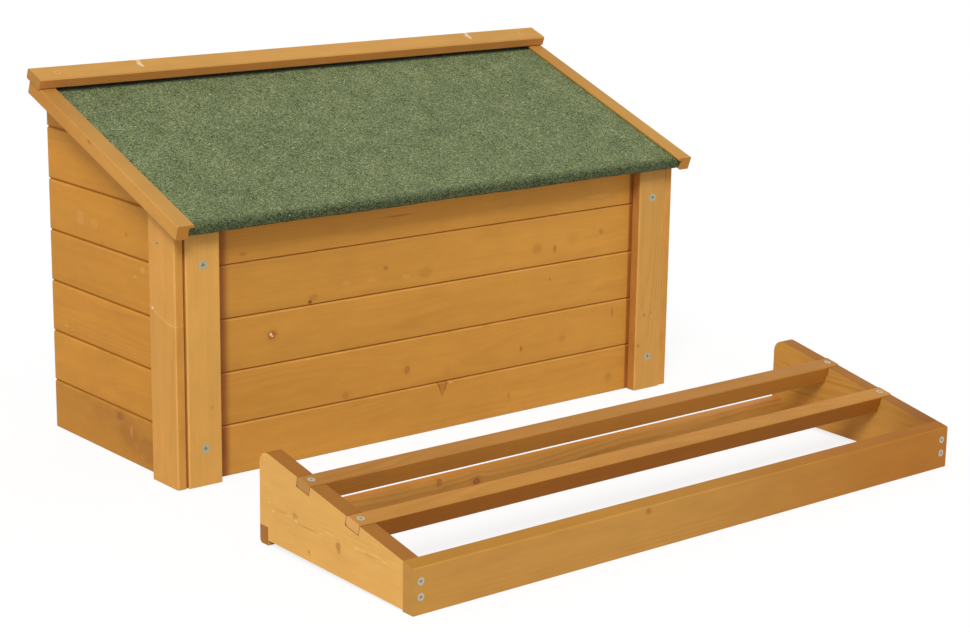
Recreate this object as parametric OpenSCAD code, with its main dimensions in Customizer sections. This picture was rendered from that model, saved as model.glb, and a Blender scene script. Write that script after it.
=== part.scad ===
// External nest box for hens with a felted lifting lid, and the perch rack of the same set.
// Millimetres. The front faces -Y and +Z is up. The origin lies on the ground, under the
// middle of the two standing pieces.

/* [Box size] */
// Width over the side battens
box_w = 1000; // [800:10:1300]
// Depth from the face of the front posts to the back edges of the side boards
box_d = 404; // [370:2:500]
// Height of the front wall under the lid
front_h = 399.5; // [365:0.5:470]
// Slope of the lid in degrees
roof_pitch = 20.4; // [18:0.2:28]

/* [Wall boards] */
// Thickness of a wall board
board_t = 14; // [12:0.5:20]
// Height by which five whole front boards pass the front height, which the lid trims off
boards_over = 15.5; // [4:0.5:40]
// Height trimmed from the lowest board, which has no groove
bottom_trim = 2.5; // [0:0.5:10]
// Thickness of a tongue
tongue_t = 4.5; // [3:0.5:6]
// Length of a tongue
tongue_l = 6; // [3:0.5:9]
// Clearance of a tongue in its groove
tongue_gap = 0.3; // [0.1:0.1:0.6]
// Bevel along the upper outer edge of a board
upper_bevel = 3.5; // [1:0.5:4]
// Bevel along the lower outer edge of a board
lower_bevel = 1.5; // [0.5:0.5:3]

/* [Posts and battens] */
// Width of a front post
post_w = 59; // [45:1:80]
// Thickness of a front post
post_t = 20; // [14:1:30]
// Width of a side batten
side_batten_w = 73; // [55:1:90]
// Thickness of a side batten
side_batten_t = 16; // [12:1:24]
// Distance of the side battens behind the face of the front posts
side_batten_setback = 3; // [0:0.5:8]
// Shadow gap between a front post and its side batten
corner_gap = 2; // [0.5:0.5:4]
// Bevel along the long edges of posts, battens and rails
edge_bevel = 2; // [0.5:0.5:4]

/* [Inner frame] */
// Width of an inner corner post
inner_post_w = 40; // [30:1:50]
// Depth of an inner corner post
inner_post_d = 30; // [22:1:40]
// Thickness of the two back rails
rail_t = 20; // [16:1:26]
// Height of the upper back rail
top_rail_h = 48; // [40:1:70]
// Height of the bedding board across the foot of the back
bedding_h = 120; // [80:5:180]
// Section of the two floor bearers
bearer = 20; // [15:1:28]
// Height of the floor bearers above the ground
bearer_z = 16; // [5:1:40]
// Thickness of the floor
floor_t = 9; // [6:1:15]
// Play round the floor
floor_gap = 1; // [0.5:0.5:3]
// Thickness of a nest divider
divider_t = 12; // [9:1:18]
// Height left free between the dividers and the lid
divider_gap = 26; // [22:1:60]
// Section of the cleats that hold the dividers
cleat = 18; // [12:1:25]

/* [Lid] */
// Thickness of the lid board
deck_t = 12; // [9:0.5:18]
// Thickness of the roofing felt
felt_t = 2.5; // [1.5:0.5:4]
// Overhang of the barge boards in front of the posts, along the slope
barge_front = 25; // [15:1:60]
// Distance of the folded felt edge behind the ends of the barge boards
felt_setback = 4; // [1:1:10]
// Overhang of the lid board behind the side boards
lid_back = 5; // [2:0.5:8]
// Width of felt turned under the front edge of the lid
felt_turn = 17; // [10:1:20]
// Radius of the fold in the felt
felt_fold_r = 4; // [3:0.5:6]
// Distance of the barge boards' outer faces beyond the side battens
barge_out = 12; // [8:1:19]
// Thickness of a barge board's hanging leg
barge_leg_t = 20; // [18:1:30]
// Height of a barge board
barge_h = 23; // [22:0.5:40]
// Width of the lip that laps over the felt
barge_lip_w = 8; // [4:1:20]
// Thickness of that lip
barge_lip_t = 5; // [3:0.5:8]
// Rounding along the edges of the barge boards
barge_r = 1.6; // [0.5:0.1:2]
// Width of the batten across the top of the lid
top_batten_w = 42; // [34:1:60]
// Thickness of that batten
top_batten_t = 17; // [14:1:24]
// Distance of that batten's back face behind the end of the lid board, along the slope
top_batten_back = 8; // [4:0.5:10]
// Distance of that batten's ends beyond the barge boards
top_batten_over = 2; // [0:0.5:10]
// Section of the two battens under the lid
lid_batten = 20; // [12:1:21]
// Play between those battens and the side walls
lid_batten_play = 6; // [2:1:20]
// Gap between the closed lid and the walls that it rests on
seat_gap = 0.3; // [0.2:0.1:0.8]

/* [Hinges] */
// Distance of each hinge's middle from the outer face of the side batten
hinge_inset = 164; // [80:2:280]
// Width of a hinge
hinge_w = 40; // [30:1:60]
// Thickness of a hinge leaf
leaf_t = 1.5; // [1:0.1:2]
// Diameter of a hinge barrel
barrel_d = 6; // [5:0.5:7]
// Gap between a hinge barrel and the back face of the top batten
barrel_gap = 0.45; // [0.3:0.05:1]
// Distance of the hinge pins below the top batten's upper face
pin_drop = 6.5; // [5:0.5:8]
// Diameter of a hinge pin
pin_d = 3; // [2:0.1:3.5]
// Running clearance round a hinge pin
pin_gap = 0.08; // [0.05:0.01:0.1]
// Gap between two hinge knuckles
knuckle_gap = 0.5; // [0.3:0.1:1]

/* [Perch rack] */
// Distance of the rack's sides beyond the side battens
rack_over = 25; // [0:1:60]
// Length of a side, from the front rail to the back
rack_l = 330; // [280:2:420]
// Thickness of a side
rack_side_t = 25; // [18:1:32]
// Height of the sides at the front
rack_front_h = 69.5; // [60:0.5:90]
// Height of the sides at the back
rack_back_h = 138.5; // [110:0.5:180]
// Height of the sides' lower edges above the ground at the front
rack_front_lift = 2.5; // [1:0.5:8]
// Height of the sides' lower edges above the ground at the back
rack_back_lift = 8; // [1:0.5:12]
// Radius of the sides' upper back corners
rack_corner_r = 18; // [6:1:30]
// Thickness of the front rail
front_rail_t = 22; // [16:1:30]
// Rounding of the front rail's upper front edge
front_rail_r = 3; // [1:0.5:8]
// Thickness of the back rail
back_rail_t = 20; // [16:1:30]
// Height of the back rail
back_rail_h = 37.5; // [32:0.5:50]
// Height of the back rail's ends, which are let into the sides
back_rail_lap = 27; // [20:0.5:31]
// Width of a perch bar, along the slope
perch_w = 29; // [24:0.5:40]
// Height of a perch bar, square to the slope
perch_h = 28.5; // [22:0.5:34]
// Height of a perch bar's ends, which are halved over the sides
perch_lap = 14.5; // [10:0.5:20]
// Height of the perch bars above the upper edges of the sides
perch_proud = 1.5; // [0:0.5:4]
// Distance of the front perch bar's middle from the front rail, along the slope
front_perch_s = 111.5; // [90:0.5:130]
// Distance of the back perch bar's middle from the front rail, along the slope
back_perch_s = 227.5; // [200:0.5:250]
// Rounding of the lower back edges of the perch bars' ends and of the back rail
rack_r = 6; // [3:0.5:9]
// Free ground between the rack and the box
rack_gap = 255; // [60:1:500]

/* [Screws] */
// Diameter of a large screw's head, in the front posts
large_head_d = 14; // [10:0.5:15]
// Diameter of a large screw's shank
large_d = 6; // [4:0.5:6.5]
// Length of a large screw
large_l = 50; // [40:1:58]
// Diameter of a medium screw's head, in the rack, the side battens and the top batten
medium_head_d = 11; // [8:0.5:12]
// Diameter of a medium screw's shank
medium_d = 4.5; // [3.5:0.5:5]
// Length of a medium screw
medium_l = 50; // [40:1:58]
// Length of the screws through the top batten
top_screw_l = 34; // [30:1:36]
// Diameter of a small screw's head
small_head_d = 6; // [5:0.5:7]
// Diameter of a small screw's shank
small_d = 3; // [2.5:0.5:3.5]
// Length of a small screw
small_l = 14; // [8:1:18]
// Height of the straight rim of a screw's head
head_rim = 0.6; // [0.4:0.1:1]
// Clearance round a screw
screw_gap = 0.1; // [0.05:0.05:0.3]
// Distance of the top batten's screws from the edges of the lid board
top_screw_inset = 19; // [10:1:28]
// Height of the lower screws of the rack's front rail above the ground
rail_screw_z = 24; // [16:0.5:28]
// Distance between the two screws at each end of that rail
rail_screw_step = 21.5; // [16:0.5:26]
// Height of the lower front screws above the ground
low_screw_z = 58; // [40:1:75]
// Height of the upper front screws above the lower edge of their board
high_screw_rise = 10.5; // [7:0.5:30]
// Height of the side battens' screws above the lower edge of their board
side_screw_rise = 40; // [20:1:44]

/* [Hidden] */
FRONT_BOARDS = 5;
SIDE_BOARDS = 7;
SIDES = ["left", "right"];
$fn = 48;

wood = [0.78, 0.55, 0.25];
light_wood = [0.83, 0.62, 0.34];
inner_wood = [0.86, 0.70, 0.46];
ply = [0.80, 0.66, 0.44];
felt_green = [0.42, 0.49, 0.33];
zinc = [0.66, 0.67, 0.66];

// Walls: places measured from the middle plane and from the face of the front posts
board_cover = (front_h + boards_over) / FRONT_BOARDS;
side_out = box_w / 2 - side_batten_t;
side_in = side_out - board_t;
panel_end = side_out - corner_gap;
front_out = post_t;
front_in = post_t + board_t;
post_x = panel_end - post_w / 2;
top_board_z = board_z(FRONT_BOARDS - 1);

// Lid, measured along the slope (s) and square to it (n) from its lower face
felt_top = deck_t + felt_t;
barge_top = felt_top + barge_lip_t;
barge_foot = barge_top - barge_h;
top_batten_top = barge_top + top_batten_t;
barge_out_x = box_w / 2 + barge_out;
barge_in_x = barge_out_x - barge_leg_t;
felt_front = felt_setback - barge_front;
deck_front = felt_front + felt_t;
lid_end = (box_d + lid_back) / cos(roof_pitch);
top_batten_s1 = lid_end + top_batten_back;
top_batten_s0 = top_batten_s1 - top_batten_w;

// Hinges: the barrels stand behind the top batten, and the back frame is flush with them
hinge_x = box_w / 2 - hinge_inset;
barrel_r = barrel_d / 2;
knuckle_l = hinge_w / 3;
hinge_s = top_batten_s1 + barrel_gap + barrel_r;
hinge_n = top_batten_top - pin_drop;
hinge_y = hinge_s * cos(roof_pitch) - hinge_n * sin(roof_pitch);
hinge_z = front_h + hinge_s * sin(roof_pitch) + hinge_n * cos(roof_pitch);
frame_back = hinge_y + barrel_r;
strap_top = hinge_z - barrel_r - knuckle_gap;
leaf_foot = barge_top + knuckle_gap;
leaf_top = hinge_n - barrel_r;

// Inner frame
bedding_y = frame_back - rail_t;
floor_z = bearer_z + bearer;
floor_top = floor_z + floor_t;
inner_post_x = side_in - inner_post_w;
back_post_y = frame_back - inner_post_d;
nest_w = (2 * side_in - 2 * divider_t) / 3;
divider_x = nest_w / 2 + divider_t / 2;

// Battens under the lid, clear of the corner posts
lid_batten_x = side_in - lid_batten_play - lid_batten;
lid_batten_s0 = (front_in + inner_post_d + lid_batten) / cos(roof_pitch);
lid_batten_s1 = (back_post_y - lid_batten) / cos(roof_pitch);
// Foot of the upper back rail
top_rail_z = roof_z(bedding_y, -seat_gap) - top_rail_h;
// Lower end of a hinge strap
strap_foot = top_rail_z + top_rail_h * 0.1;

// Rack
rack_back = -rack_gap;
rack_front = rack_back - rack_l;
rack_face = rack_front - front_rail_t;
rack_pitch = atan((rack_back_h - rack_front_h) / rack_l);
rack_x = box_w / 2 + rack_over;
rack_in_x = rack_x - rack_side_t;
// The rack's roundings stand this much above the slope, so that the two cross cleanly
hair = 0.02;
// Height of the front rail's face: its top goes on in the sides' slope
front_rail_h = rack_front_h - front_rail_t * tan(rack_pitch);

// Middle of the whole set in depth
shift_y = -(rack_face + frame_back) / 2;

// Height of a plane n above the lid's lower face, at the depth y
function roof_z(y, n = 0) = front_h + y * tan(roof_pitch) + n / cos(roof_pitch);
// Lower edge of the wall board with the index i, counted from 0
function board_z(i) = i == 0 ? 0 : i * board_cover - bottom_trim;
// Side as a sign
function sign_of(side) = side == "left" ? -1 : 1;
// Number of boards that reach a height
function boards_to(z) = ceil((z + bottom_trim) / board_cover);

// Extrude a (y, z) outline along X
module yz(x0, x1) {
  translate([x0, 0, 0]) rotate([90, 0, 90]) linear_extrude(x1 - x0) children();
}
// Extrude an (x, z) outline along Y
module xz(y0, y1) {
  translate([0, y1, 0]) rotate([90, 0, 0]) linear_extrude(y1 - y0) children();
}
// Extrude an (x, y) outline along Z
module xy(z0, z1) {
  translate([0, 0, z0]) linear_extrude(z1 - z0) children();
}
// Put what is drawn for the right side on either side
module on_side(side) {
  if (side == "left") mirror([1, 0, 0]) children();
  else children();
}
// Coordinates along (y) and square to (z) the lid's lower face
module on_roof() {
  translate([0, 0, front_h]) rotate([roof_pitch, 0, 0]) children();
}
// Coordinates along (y) and square to (z) the upper edges of the rack's sides
module on_rack() {
  translate([0, rack_front, rack_front_h]) rotate([rack_pitch, 0, 0]) children();
}
// Everything stands about the middle of the set
module set_out() {
  translate([0, shift_y, 0]) children();
}
// Rectangle from a to b with bevelled corners
module bevelled(a, b, c = edge_bevel) {
  polygon([
    [a[0] + c, a[1]], [b[0] - c, a[1]], [b[0], a[1] + c], [b[0], b[1] - c],
    [b[0] - c, b[1]], [a[0] + c, b[1]], [a[0], b[1] - c], [a[0], a[1] + c]
  ]);
}
// Rectangle from a to b with round corners
module rounded(a, b, r) {
  translate([a[0] + r, a[1]]) square([b[0] - a[0] - 2 * r, b[1] - a[1]]);
  translate([a[0], a[1] + r]) square([b[0] - a[0], b[1] - a[1] - 2 * r]);
  for (x = [a[0] + r, b[0] - r], y = [a[1] + r, b[1] - r]) translate([x, y]) circle(r);
}
// Space under the lid, a drop below its lower face
module under_lid(drop = seat_gap) {
  yz(-box_w, box_w) polygon([
    [-box_d, -1], [2 * box_d, -1],
    [2 * box_d, roof_z(2 * box_d, -drop)], [-box_d, roof_z(-box_d, -drop)]
  ]);
}
// Screws stand at the origin with the head's top at z = 0 and the point below. A hole is the
// same shape with a gap all round, and it runs on above the head.
module screw(l, head_d, d, gap = 0) {
  top = gap > 0 ? head_d / 2 : 0;
  neck = -head_rim - (head_d - d) / 2;
  rotate_extrude() polygon([
    [0, top], [head_d / 2 + gap, top], [head_d / 2 + gap, -head_rim],
    [d / 2 + gap, neck], [d / 2 + gap, d - l], [0, -l - gap]
  ]);
}
module cross_screw(l, head_d, d) {
  slot = head_d / 8;
  difference() {
    screw(l, head_d, d);
    for (a = [0, 90]) rotate([0, 0, a])
      translate([-head_d / 4, -slot / 2, -slot * 1.5]) cube([head_d / 2, slot, slot * 2]);
  }
}
module large_screw() {
  cross_screw(large_l, large_head_d, large_d);
}
module large_hole() {
  screw(large_l, large_head_d, large_d, screw_gap);
}
module medium_screw(l = medium_l) {
  cross_screw(l, medium_head_d, medium_d);
}
module medium_hole(l = medium_l) {
  screw(l, medium_head_d, medium_d, screw_gap);
}
module small_screw() {
  cross_screw(small_l, small_head_d, small_d);
}
module small_hole() {
  screw(small_l, small_head_d, small_d, screw_gap);
}

// Places of the screws, each put at its head and pointed into the wood
module at_front_posts() {
  for (x = [-post_x, post_x], z = [low_screw_z, top_board_z + high_screw_rise])
    translate([x, 0, z]) rotate([90, 0, 0]) children();
}
module at_side_battens() {
  for (s = SIDES) on_side(s)
    translate([box_w / 2, front_in + inner_post_d / 2, top_board_z + side_screw_rise])
      rotate([0, 90, 0]) children();
}
module at_top_batten() {
  for (s = SIDES) on_side(s) on_roof()
    translate([barge_in_x - top_screw_inset, top_batten_s1 - top_batten_w / 2, top_batten_top])
      children();
}
module at_hinge_straps() {
  for (x = [-hinge_x, hinge_x], i = [-1, 0, 1])
    translate([x + i * hinge_w / 4, frame_back, top_rail_z + top_rail_h * (i == 0 ? 0.64 : 0.3)])
      rotate([-90, 0, 0]) children();
}
module at_hinge_leaves() {
  for (x = [-hinge_x, hinge_x], i = [-1, 0, 1]) on_roof()
    translate([x + i * knuckle_l, top_batten_s1, (leaf_foot + leaf_top) / 2])
      rotate([-90, 0, 0]) children();
}
module at_rack_rail() {
  for (x = [-1, 1], z = [rail_screw_z, rail_screw_z + rail_screw_step])
    translate([x * (rack_x - rack_side_t / 2), rack_face, z])
      rotate([90, 0, 0]) children();
}
module at_perches() {
  for (x = [-1, 1], s = [front_perch_s, back_perch_s])
    on_rack() translate([x * (rack_x - rack_side_t / 2), s, perch_proud]) children();
}
module at_back_rail() {
  for (x = [-1, 1])
    translate([x * (rack_x - rack_side_t / 2), rack_back, (back_rail_lap + rack_back_lift) / 2])
      rotate([-90, 0, 0]) children();
}

// Section of a wall board: u runs in from the outer face, v runs up
module board_section(i, height) {
  tongue_u = (board_t - tongue_t) / 2;
  groove_u = tongue_u - tongue_gap;
  groove_l = tongue_l + tongue_gap;
  foot = i == 0 ? [[lower_bevel, 0], [board_t, 0]] : [
    [lower_bevel, 0], [groove_u, 0], [groove_u, groove_l],
    [board_t - groove_u, groove_l], [board_t - groove_u, 0], [board_t, 0]
  ];
  head = [
    [board_t, height], [tongue_u + tongue_t, height], [tongue_u + tongue_t, height + tongue_l],
    [tongue_u, height + tongue_l], [tongue_u, height], [upper_bevel, height],
    [0, height - upper_bevel], [0, lower_bevel]
  ];
  polygon(concat(foot, head));
}
// Board i of a wall, or from the last one on, all that are left under the lid
module wall_boards(i, last, wall_h) {
  top = i < last - 1 ? i : max(last - 1, boards_to(wall_h) - 1);
  for (k = [i : top]) translate([0, board_z(k)])
    board_section(k, board_z(k + 1) - board_z(k));
}

module front_board(i) {
  color(wood) set_out() difference() {
    intersection() {
      translate([-panel_end, front_out, 0]) rotate([90, 0, 90]) linear_extrude(2 * panel_end)
        wall_boards(i, FRONT_BOARDS, roof_z(front_in));
      under_lid();
    }
    at_front_posts() large_hole();
  }
}
module side_board(side, i) {
  color(wood) set_out() difference() {
    intersection() {
      on_side(side) translate([side_out, box_d, 0]) rotate([90, 0, 0]) linear_extrude(box_d - front_in)
        mirror([1, 0]) wall_boards(i, SIDE_BOARDS, roof_z(box_d));
      under_lid();
    }
    at_side_battens() medium_hole();
  }
}
module front_post(side) {
  color(light_wood) set_out() difference() {
    intersection() {
      on_side(side) xy(0, 2 * front_h) bevelled([panel_end - post_w, 0], [panel_end, post_t]);
      under_lid();
    }
    at_front_posts() large_hole();
  }
}
module side_batten(side) {
  color(light_wood) set_out() difference() {
    intersection() {
      on_side(side) xy(0, 2 * front_h) bevelled(
        [side_out, side_batten_setback], [box_w / 2, side_batten_setback + side_batten_w]);
      under_lid(seat_gap - barge_foot);
    }
    at_side_battens() medium_hole();
  }
}
module inner_front_post(side) {
  color(inner_wood) set_out() difference() {
    intersection() {
      on_side(side) xy(0, 2 * front_h)
        bevelled([inner_post_x, front_in], [side_in, front_in + inner_post_d]);
      under_lid();
    }
    at_front_posts() large_hole();
    at_side_battens() medium_hole();
  }
}
module inner_back_post(side) {
  color(inner_wood) set_out() intersection() {
    on_side(side) xy(0, 3 * front_h) bevelled([inner_post_x, back_post_y], [side_in, frame_back]);
    under_lid();
  }
}
module top_back_rail() {
  color(inner_wood) set_out() difference() {
    intersection() {
      yz(-inner_post_x, inner_post_x) polygon([
        [bedding_y, top_rail_z], [frame_back, top_rail_z],
        [frame_back, roof_z(frame_back)], [bedding_y, roof_z(bedding_y)]
      ]);
      under_lid();
    }
    for (x = [-hinge_x, hinge_x])
      translate([x - hinge_w / 2 - screw_gap, frame_back - leaf_t, strap_foot - screw_gap])
        cube([hinge_w + 2 * screw_gap, 2 * leaf_t, 2 * top_rail_h]);
    at_hinge_straps() small_hole();
  }
}
module bedding_board() {
  color(inner_wood) set_out() yz(-inner_post_x, inner_post_x)
    bevelled([bedding_y, 0], [frame_back, bedding_h]);
}
module floor_bearers() {
  color(inner_wood) set_out() yz(-inner_post_x, inner_post_x) {
    translate([front_in, bearer_z]) square(bearer);
    translate([bedding_y - bearer, bearer_z]) square(bearer);
  }
}
module nest_floor() {
  color(ply) set_out() difference() {
    translate([-side_in + floor_gap, front_in + floor_gap, floor_z])
      cube([2 * (side_in - floor_gap), bedding_y - front_in - 2 * floor_gap, floor_t]);
    for (s = SIDES) on_side(s) {
      translate([inner_post_x - floor_gap, 0, 0])
        cube([box_w, front_in + inner_post_d + floor_gap, front_h]);
      translate([inner_post_x - floor_gap, back_post_y - floor_gap, 0]) cube([box_w, box_d, front_h]);
    }
  }
}
module nest_divider(side) {
  color(ply) set_out() on_side(side) yz(divider_x - divider_t / 2, divider_x + divider_t / 2) polygon([
    [front_in, floor_top], [bedding_y, floor_top],
    [bedding_y, roof_z(bedding_y, -divider_gap)], [front_in, roof_z(front_in, -divider_gap)]
  ]);
}
module divider_cleats() {
  color(inner_wood) set_out() for (s = SIDES) on_side(s) {
    x = divider_x + divider_t / 2;
    xy(floor_top, roof_z(front_in, -divider_gap)) bevelled([x, front_in], [x + cleat, front_in + cleat]);
    xy(floor_top, bedding_h) bevelled([x, bedding_y - cleat], [x + cleat, bedding_y]);
  }
}

module lid_deck() {
  color(ply) set_out() difference() {
    on_roof() yz(-barge_in_x, barge_in_x)
      translate([deck_front, 0]) square([lid_end - deck_front, deck_t]);
    at_top_batten() medium_hole(top_screw_l);
  }
}
// Felt on the lid board, folded round its front edge and turned under it
module felt_section() {
  difference() {
    union() {
      rounded([felt_front, -felt_t], [felt_front + 2 * felt_turn, felt_top], felt_fold_r);
      translate([felt_front + felt_turn, 0]) square([lid_end - felt_front - felt_turn, felt_top]);
    }
    translate([deck_front, 0]) square([lid_end - deck_front, deck_t]);
    translate([felt_front + felt_turn, -2 * felt_t]) square([2 * felt_turn, 2 * felt_t]);
  }
}
module lid_felt() {
  color(felt_green) set_out() difference() {
    on_roof() yz(-barge_in_x, barge_in_x) felt_section();
    at_top_batten() medium_hole(top_screw_l);
  }
}
// Rebated section: a leg outside the lid board and a lip over the felt
module barge_section() {
  rounded([barge_in_x, barge_foot], [barge_out_x, barge_top], barge_r);
  rounded([barge_in_x - barge_lip_w, felt_top], [barge_out_x, barge_top], barge_r);
}
module barge_board(side) {
  color(wood) set_out() on_side(side) on_roof() xz(-barge_front, lid_end) barge_section();
}
module lid_top_batten() {
  end_x = barge_out_x + top_batten_over;
  color(light_wood) set_out() difference() {
    on_roof() yz(-end_x, end_x)
      bevelled([top_batten_s0, barge_top], [top_batten_s1, top_batten_top]);
    for (x = [-hinge_x, hinge_x]) on_roof()
      translate([x - hinge_w / 2 - screw_gap, top_batten_s1 - leaf_t, leaf_foot - knuckle_gap])
        cube([hinge_w + 2 * screw_gap, 2 * leaf_t, hinge_n - leaf_foot + 2 * knuckle_gap]);
    at_top_batten() medium_hole(top_screw_l);
    at_hinge_leaves() small_hole();
  }
}
module lid_batten_under(side) {
  color(inner_wood) set_out() on_side(side) on_roof() xz(lid_batten_s0, lid_batten_s1)
    bevelled([lid_batten_x, -lid_batten], [lid_batten_x + lid_batten, 0]);
}

// Put what is drawn at the origin, with the pin along X, at a hinge
module at_hinge(side) {
  on_side(side) translate([hinge_x, hinge_y, hinge_z]) children();
}
// Knuckle k of three, counted along the pin, and the span in X that its leaf's tab has
module knuckle(k) {
  translate([tab_x(k), 0, 0]) rotate([0, 90, 0]) cylinder(d = barrel_d, h = tab_w);
}
function tab_x(k) = -hinge_w / 2 + k * knuckle_l + knuckle_gap / 2;
tab_w = knuckle_l - knuckle_gap;
module pin_bore() {
  translate([-hinge_w, 0, 0]) rotate([0, 90, 0]) cylinder(d = pin_d + 2 * pin_gap, h = 2 * hinge_w);
}
// Strap on the back frame, with the two outer knuckles
module hinge_strap(side) {
  color(zinc) set_out() difference() {
    at_hinge(side) {
      translate([-hinge_w / 2, barrel_r - leaf_t, strap_foot - hinge_z])
        cube([hinge_w, leaf_t, strap_top - strap_foot]);
      for (k = [0, 2]) {
        knuckle(k);
        translate([tab_x(k), barrel_r - leaf_t, -barrel_d]) cube([tab_w, leaf_t, barrel_d]);
      }
    }
    at_hinge(side) pin_bore();
    at_hinge_straps() small_hole();
  }
}
// Leaf let into the back face of the top batten, with the middle knuckle
module hinge_leaf(side) {
  color(zinc) set_out() difference() {
    at_hinge(side) {
      rotate([roof_pitch, 0, 0]) {
        translate([-hinge_w / 2, top_batten_s1 - leaf_t - hinge_s, leaf_foot - hinge_n])
          cube([hinge_w, leaf_t, leaf_top - leaf_foot]);
        translate([tab_x(1), top_batten_s1 - leaf_t - hinge_s, -barrel_r])
          cube([tab_w, leaf_t, barrel_r]);
        translate([tab_x(1), top_batten_s1 - leaf_t - hinge_s, -barrel_r / 2])
          cube([tab_w, hinge_s - top_batten_s1 + leaf_t, barrel_r / 2]);
      }
      knuckle(1);
    }
    at_hinge(side) pin_bore();
    at_hinge_leaves() small_hole();
  }
}
module hinge_pins() {
  color(zinc) set_out() for (s = SIDES) at_hinge(s)
    translate([-hinge_w / 2, 0, 0]) rotate([0, 90, 0]) cylinder(d = pin_d, h = hinge_w);
}

module rack_side(side) {
  color(light_wood) set_out() difference() {
    on_side(side) yz(rack_x - rack_side_t, rack_x) rack_side_outline();
    at_rack_rail() medium_hole();
    at_perches() medium_hole();
    at_back_rail() medium_hole();
  }
}
// Side of the rack in (y, z), with its rounded upper corner and its three notches
module rack_side_outline() {
  corner_y = rack_back - rack_corner_r;
  corner_z = rack_back_h - rack_corner_r * (tan(rack_pitch) + 1 / cos(rack_pitch)) + hair;
  inner_r = rack_corner_r - hair;
  difference() {
    union() {
      polygon([
        [rack_front, rack_front_lift], [rack_back, rack_back_lift], [rack_back, corner_z],
        [corner_y, corner_z],
        [corner_y - inner_r * sin(rack_pitch), corner_z + inner_r * cos(rack_pitch)],
        [rack_front, rack_front_h]
      ]);
      translate([corner_y, corner_z]) circle(rack_corner_r);
    }
    translate([rack_back - back_rail_t, -rack_back_lift])
      square([2 * back_rail_t, back_rail_lap + rack_back_lift]);
    translate([rack_front, rack_front_h]) rotate(rack_pitch)
      for (s = [front_perch_s, back_perch_s])
        translate([s - perch_w / 2, perch_proud]) perch_notch();
  }
}
// Notch for a perch bar's end, from its upper face down: the lower back corner is round
module perch_notch() {
  translate([0, -perch_lap + rack_r]) square([perch_w, 2 * perch_lap]);
  translate([0, -perch_lap]) square([perch_w - rack_r, perch_lap]);
  translate([perch_w - rack_r, -perch_lap + rack_r]) circle(rack_r);
}
// A perch bar is a square bar with eased edges, halved at both ends to lie in the notches
module perch(s) {
  color(wood) set_out() difference() {
    on_rack() translate([0, s - perch_w / 2, perch_proud]) {
      yz(-rack_in_x, rack_in_x) bevelled([0, -perch_h], [perch_w, 0]);
      yz(-rack_x, rack_x) intersection() {
        bevelled([0, -perch_h], [perch_w, 0]);
        perch_notch();
      }
    }
    at_perches() medium_hole();
  }
}
module front_perch() { perch(front_perch_s); }
module back_perch() { perch(back_perch_s); }
// The front rail's top goes on in the sides' slope, to a rounded edge
module front_rail_section() {
  round_y = rack_face + front_rail_r;
  round_z = front_rail_h + front_rail_r * (tan(rack_pitch) - 1 / cos(rack_pitch)) + hair;
  inner_r = front_rail_r - hair;
  polygon([
    [rack_face, 0], [rack_front, 0], [rack_front, rack_front_h],
    [round_y - inner_r * sin(rack_pitch), round_z + inner_r * cos(rack_pitch)],
    [round_y, round_z], [rack_face, round_z]
  ]);
  translate([round_y, round_z]) circle(front_rail_r);
}
module rack_front_rail() {
  color(wood) set_out() difference() {
    yz(-rack_x, rack_x) front_rail_section();
    at_rack_rail() medium_hole();
  }
}
// The back rail's lower back edge is rounded
module back_rail_section(h) {
  translate([rack_back - back_rail_t, rack_r]) square([back_rail_t, h - rack_r]);
  translate([rack_back - back_rail_t, 0]) square([back_rail_t - rack_r, h]);
  translate([rack_back - rack_r, rack_r]) circle(rack_r);
}
module rack_back_rail() {
  color(wood) set_out() difference() {
    union() {
      yz(-rack_x, rack_x) back_rail_section(back_rail_lap);
      yz(-rack_in_x, rack_in_x) back_rail_section(back_rail_h);
    }
    at_back_rail() medium_hole();
  }
}

module front_post_screws() { color(zinc) set_out() at_front_posts() large_screw(); }
module side_batten_screws() { color(zinc) set_out() at_side_battens() medium_screw(); }
module top_batten_screws() { color(zinc) set_out() at_top_batten() medium_screw(top_screw_l); }
module hinge_strap_screws() { color(zinc) set_out() at_hinge_straps() small_screw(); }
module hinge_leaf_screws() { color(zinc) set_out() at_hinge_leaves() small_screw(); }
module rack_screws() {
  color(zinc) set_out() {
    at_rack_rail() medium_screw();
    at_perches() medium_screw();
    at_back_rail() medium_screw();
  }
}

for (i = [1 : FRONT_BOARDS]) front_board(i - 1);
for (s = SIDES, i = [1 : SIDE_BOARDS])
  side_board(s, i - 1);
for (s = SIDES) {
  front_post(s);
  side_batten(s);
  inner_front_post(s);
  inner_back_post(s);
  nest_divider(s);
  barge_board(s);
  lid_batten_under(s);
  hinge_strap(s);
  hinge_leaf(s);
  rack_side(s);
}
top_back_rail();
bedding_board();
floor_bearers();
nest_floor();
divider_cleats();
lid_deck();
lid_felt();
lid_top_batten();
hinge_pins();
front_post_screws();
side_batten_screws();
top_batten_screws();
hinge_strap_screws();
hinge_leaf_screws();
rack_front_rail();
rack_back_rail();
front_perch();
back_perch();
rack_screws();
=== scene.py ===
"""Looks of the chicken nesting box and its perch rack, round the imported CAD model.

Everything is in metres: X along the front, Y to the back, Z up.
"""

import math
import random

import bpy
from mathutils import Matrix, Vector


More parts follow.
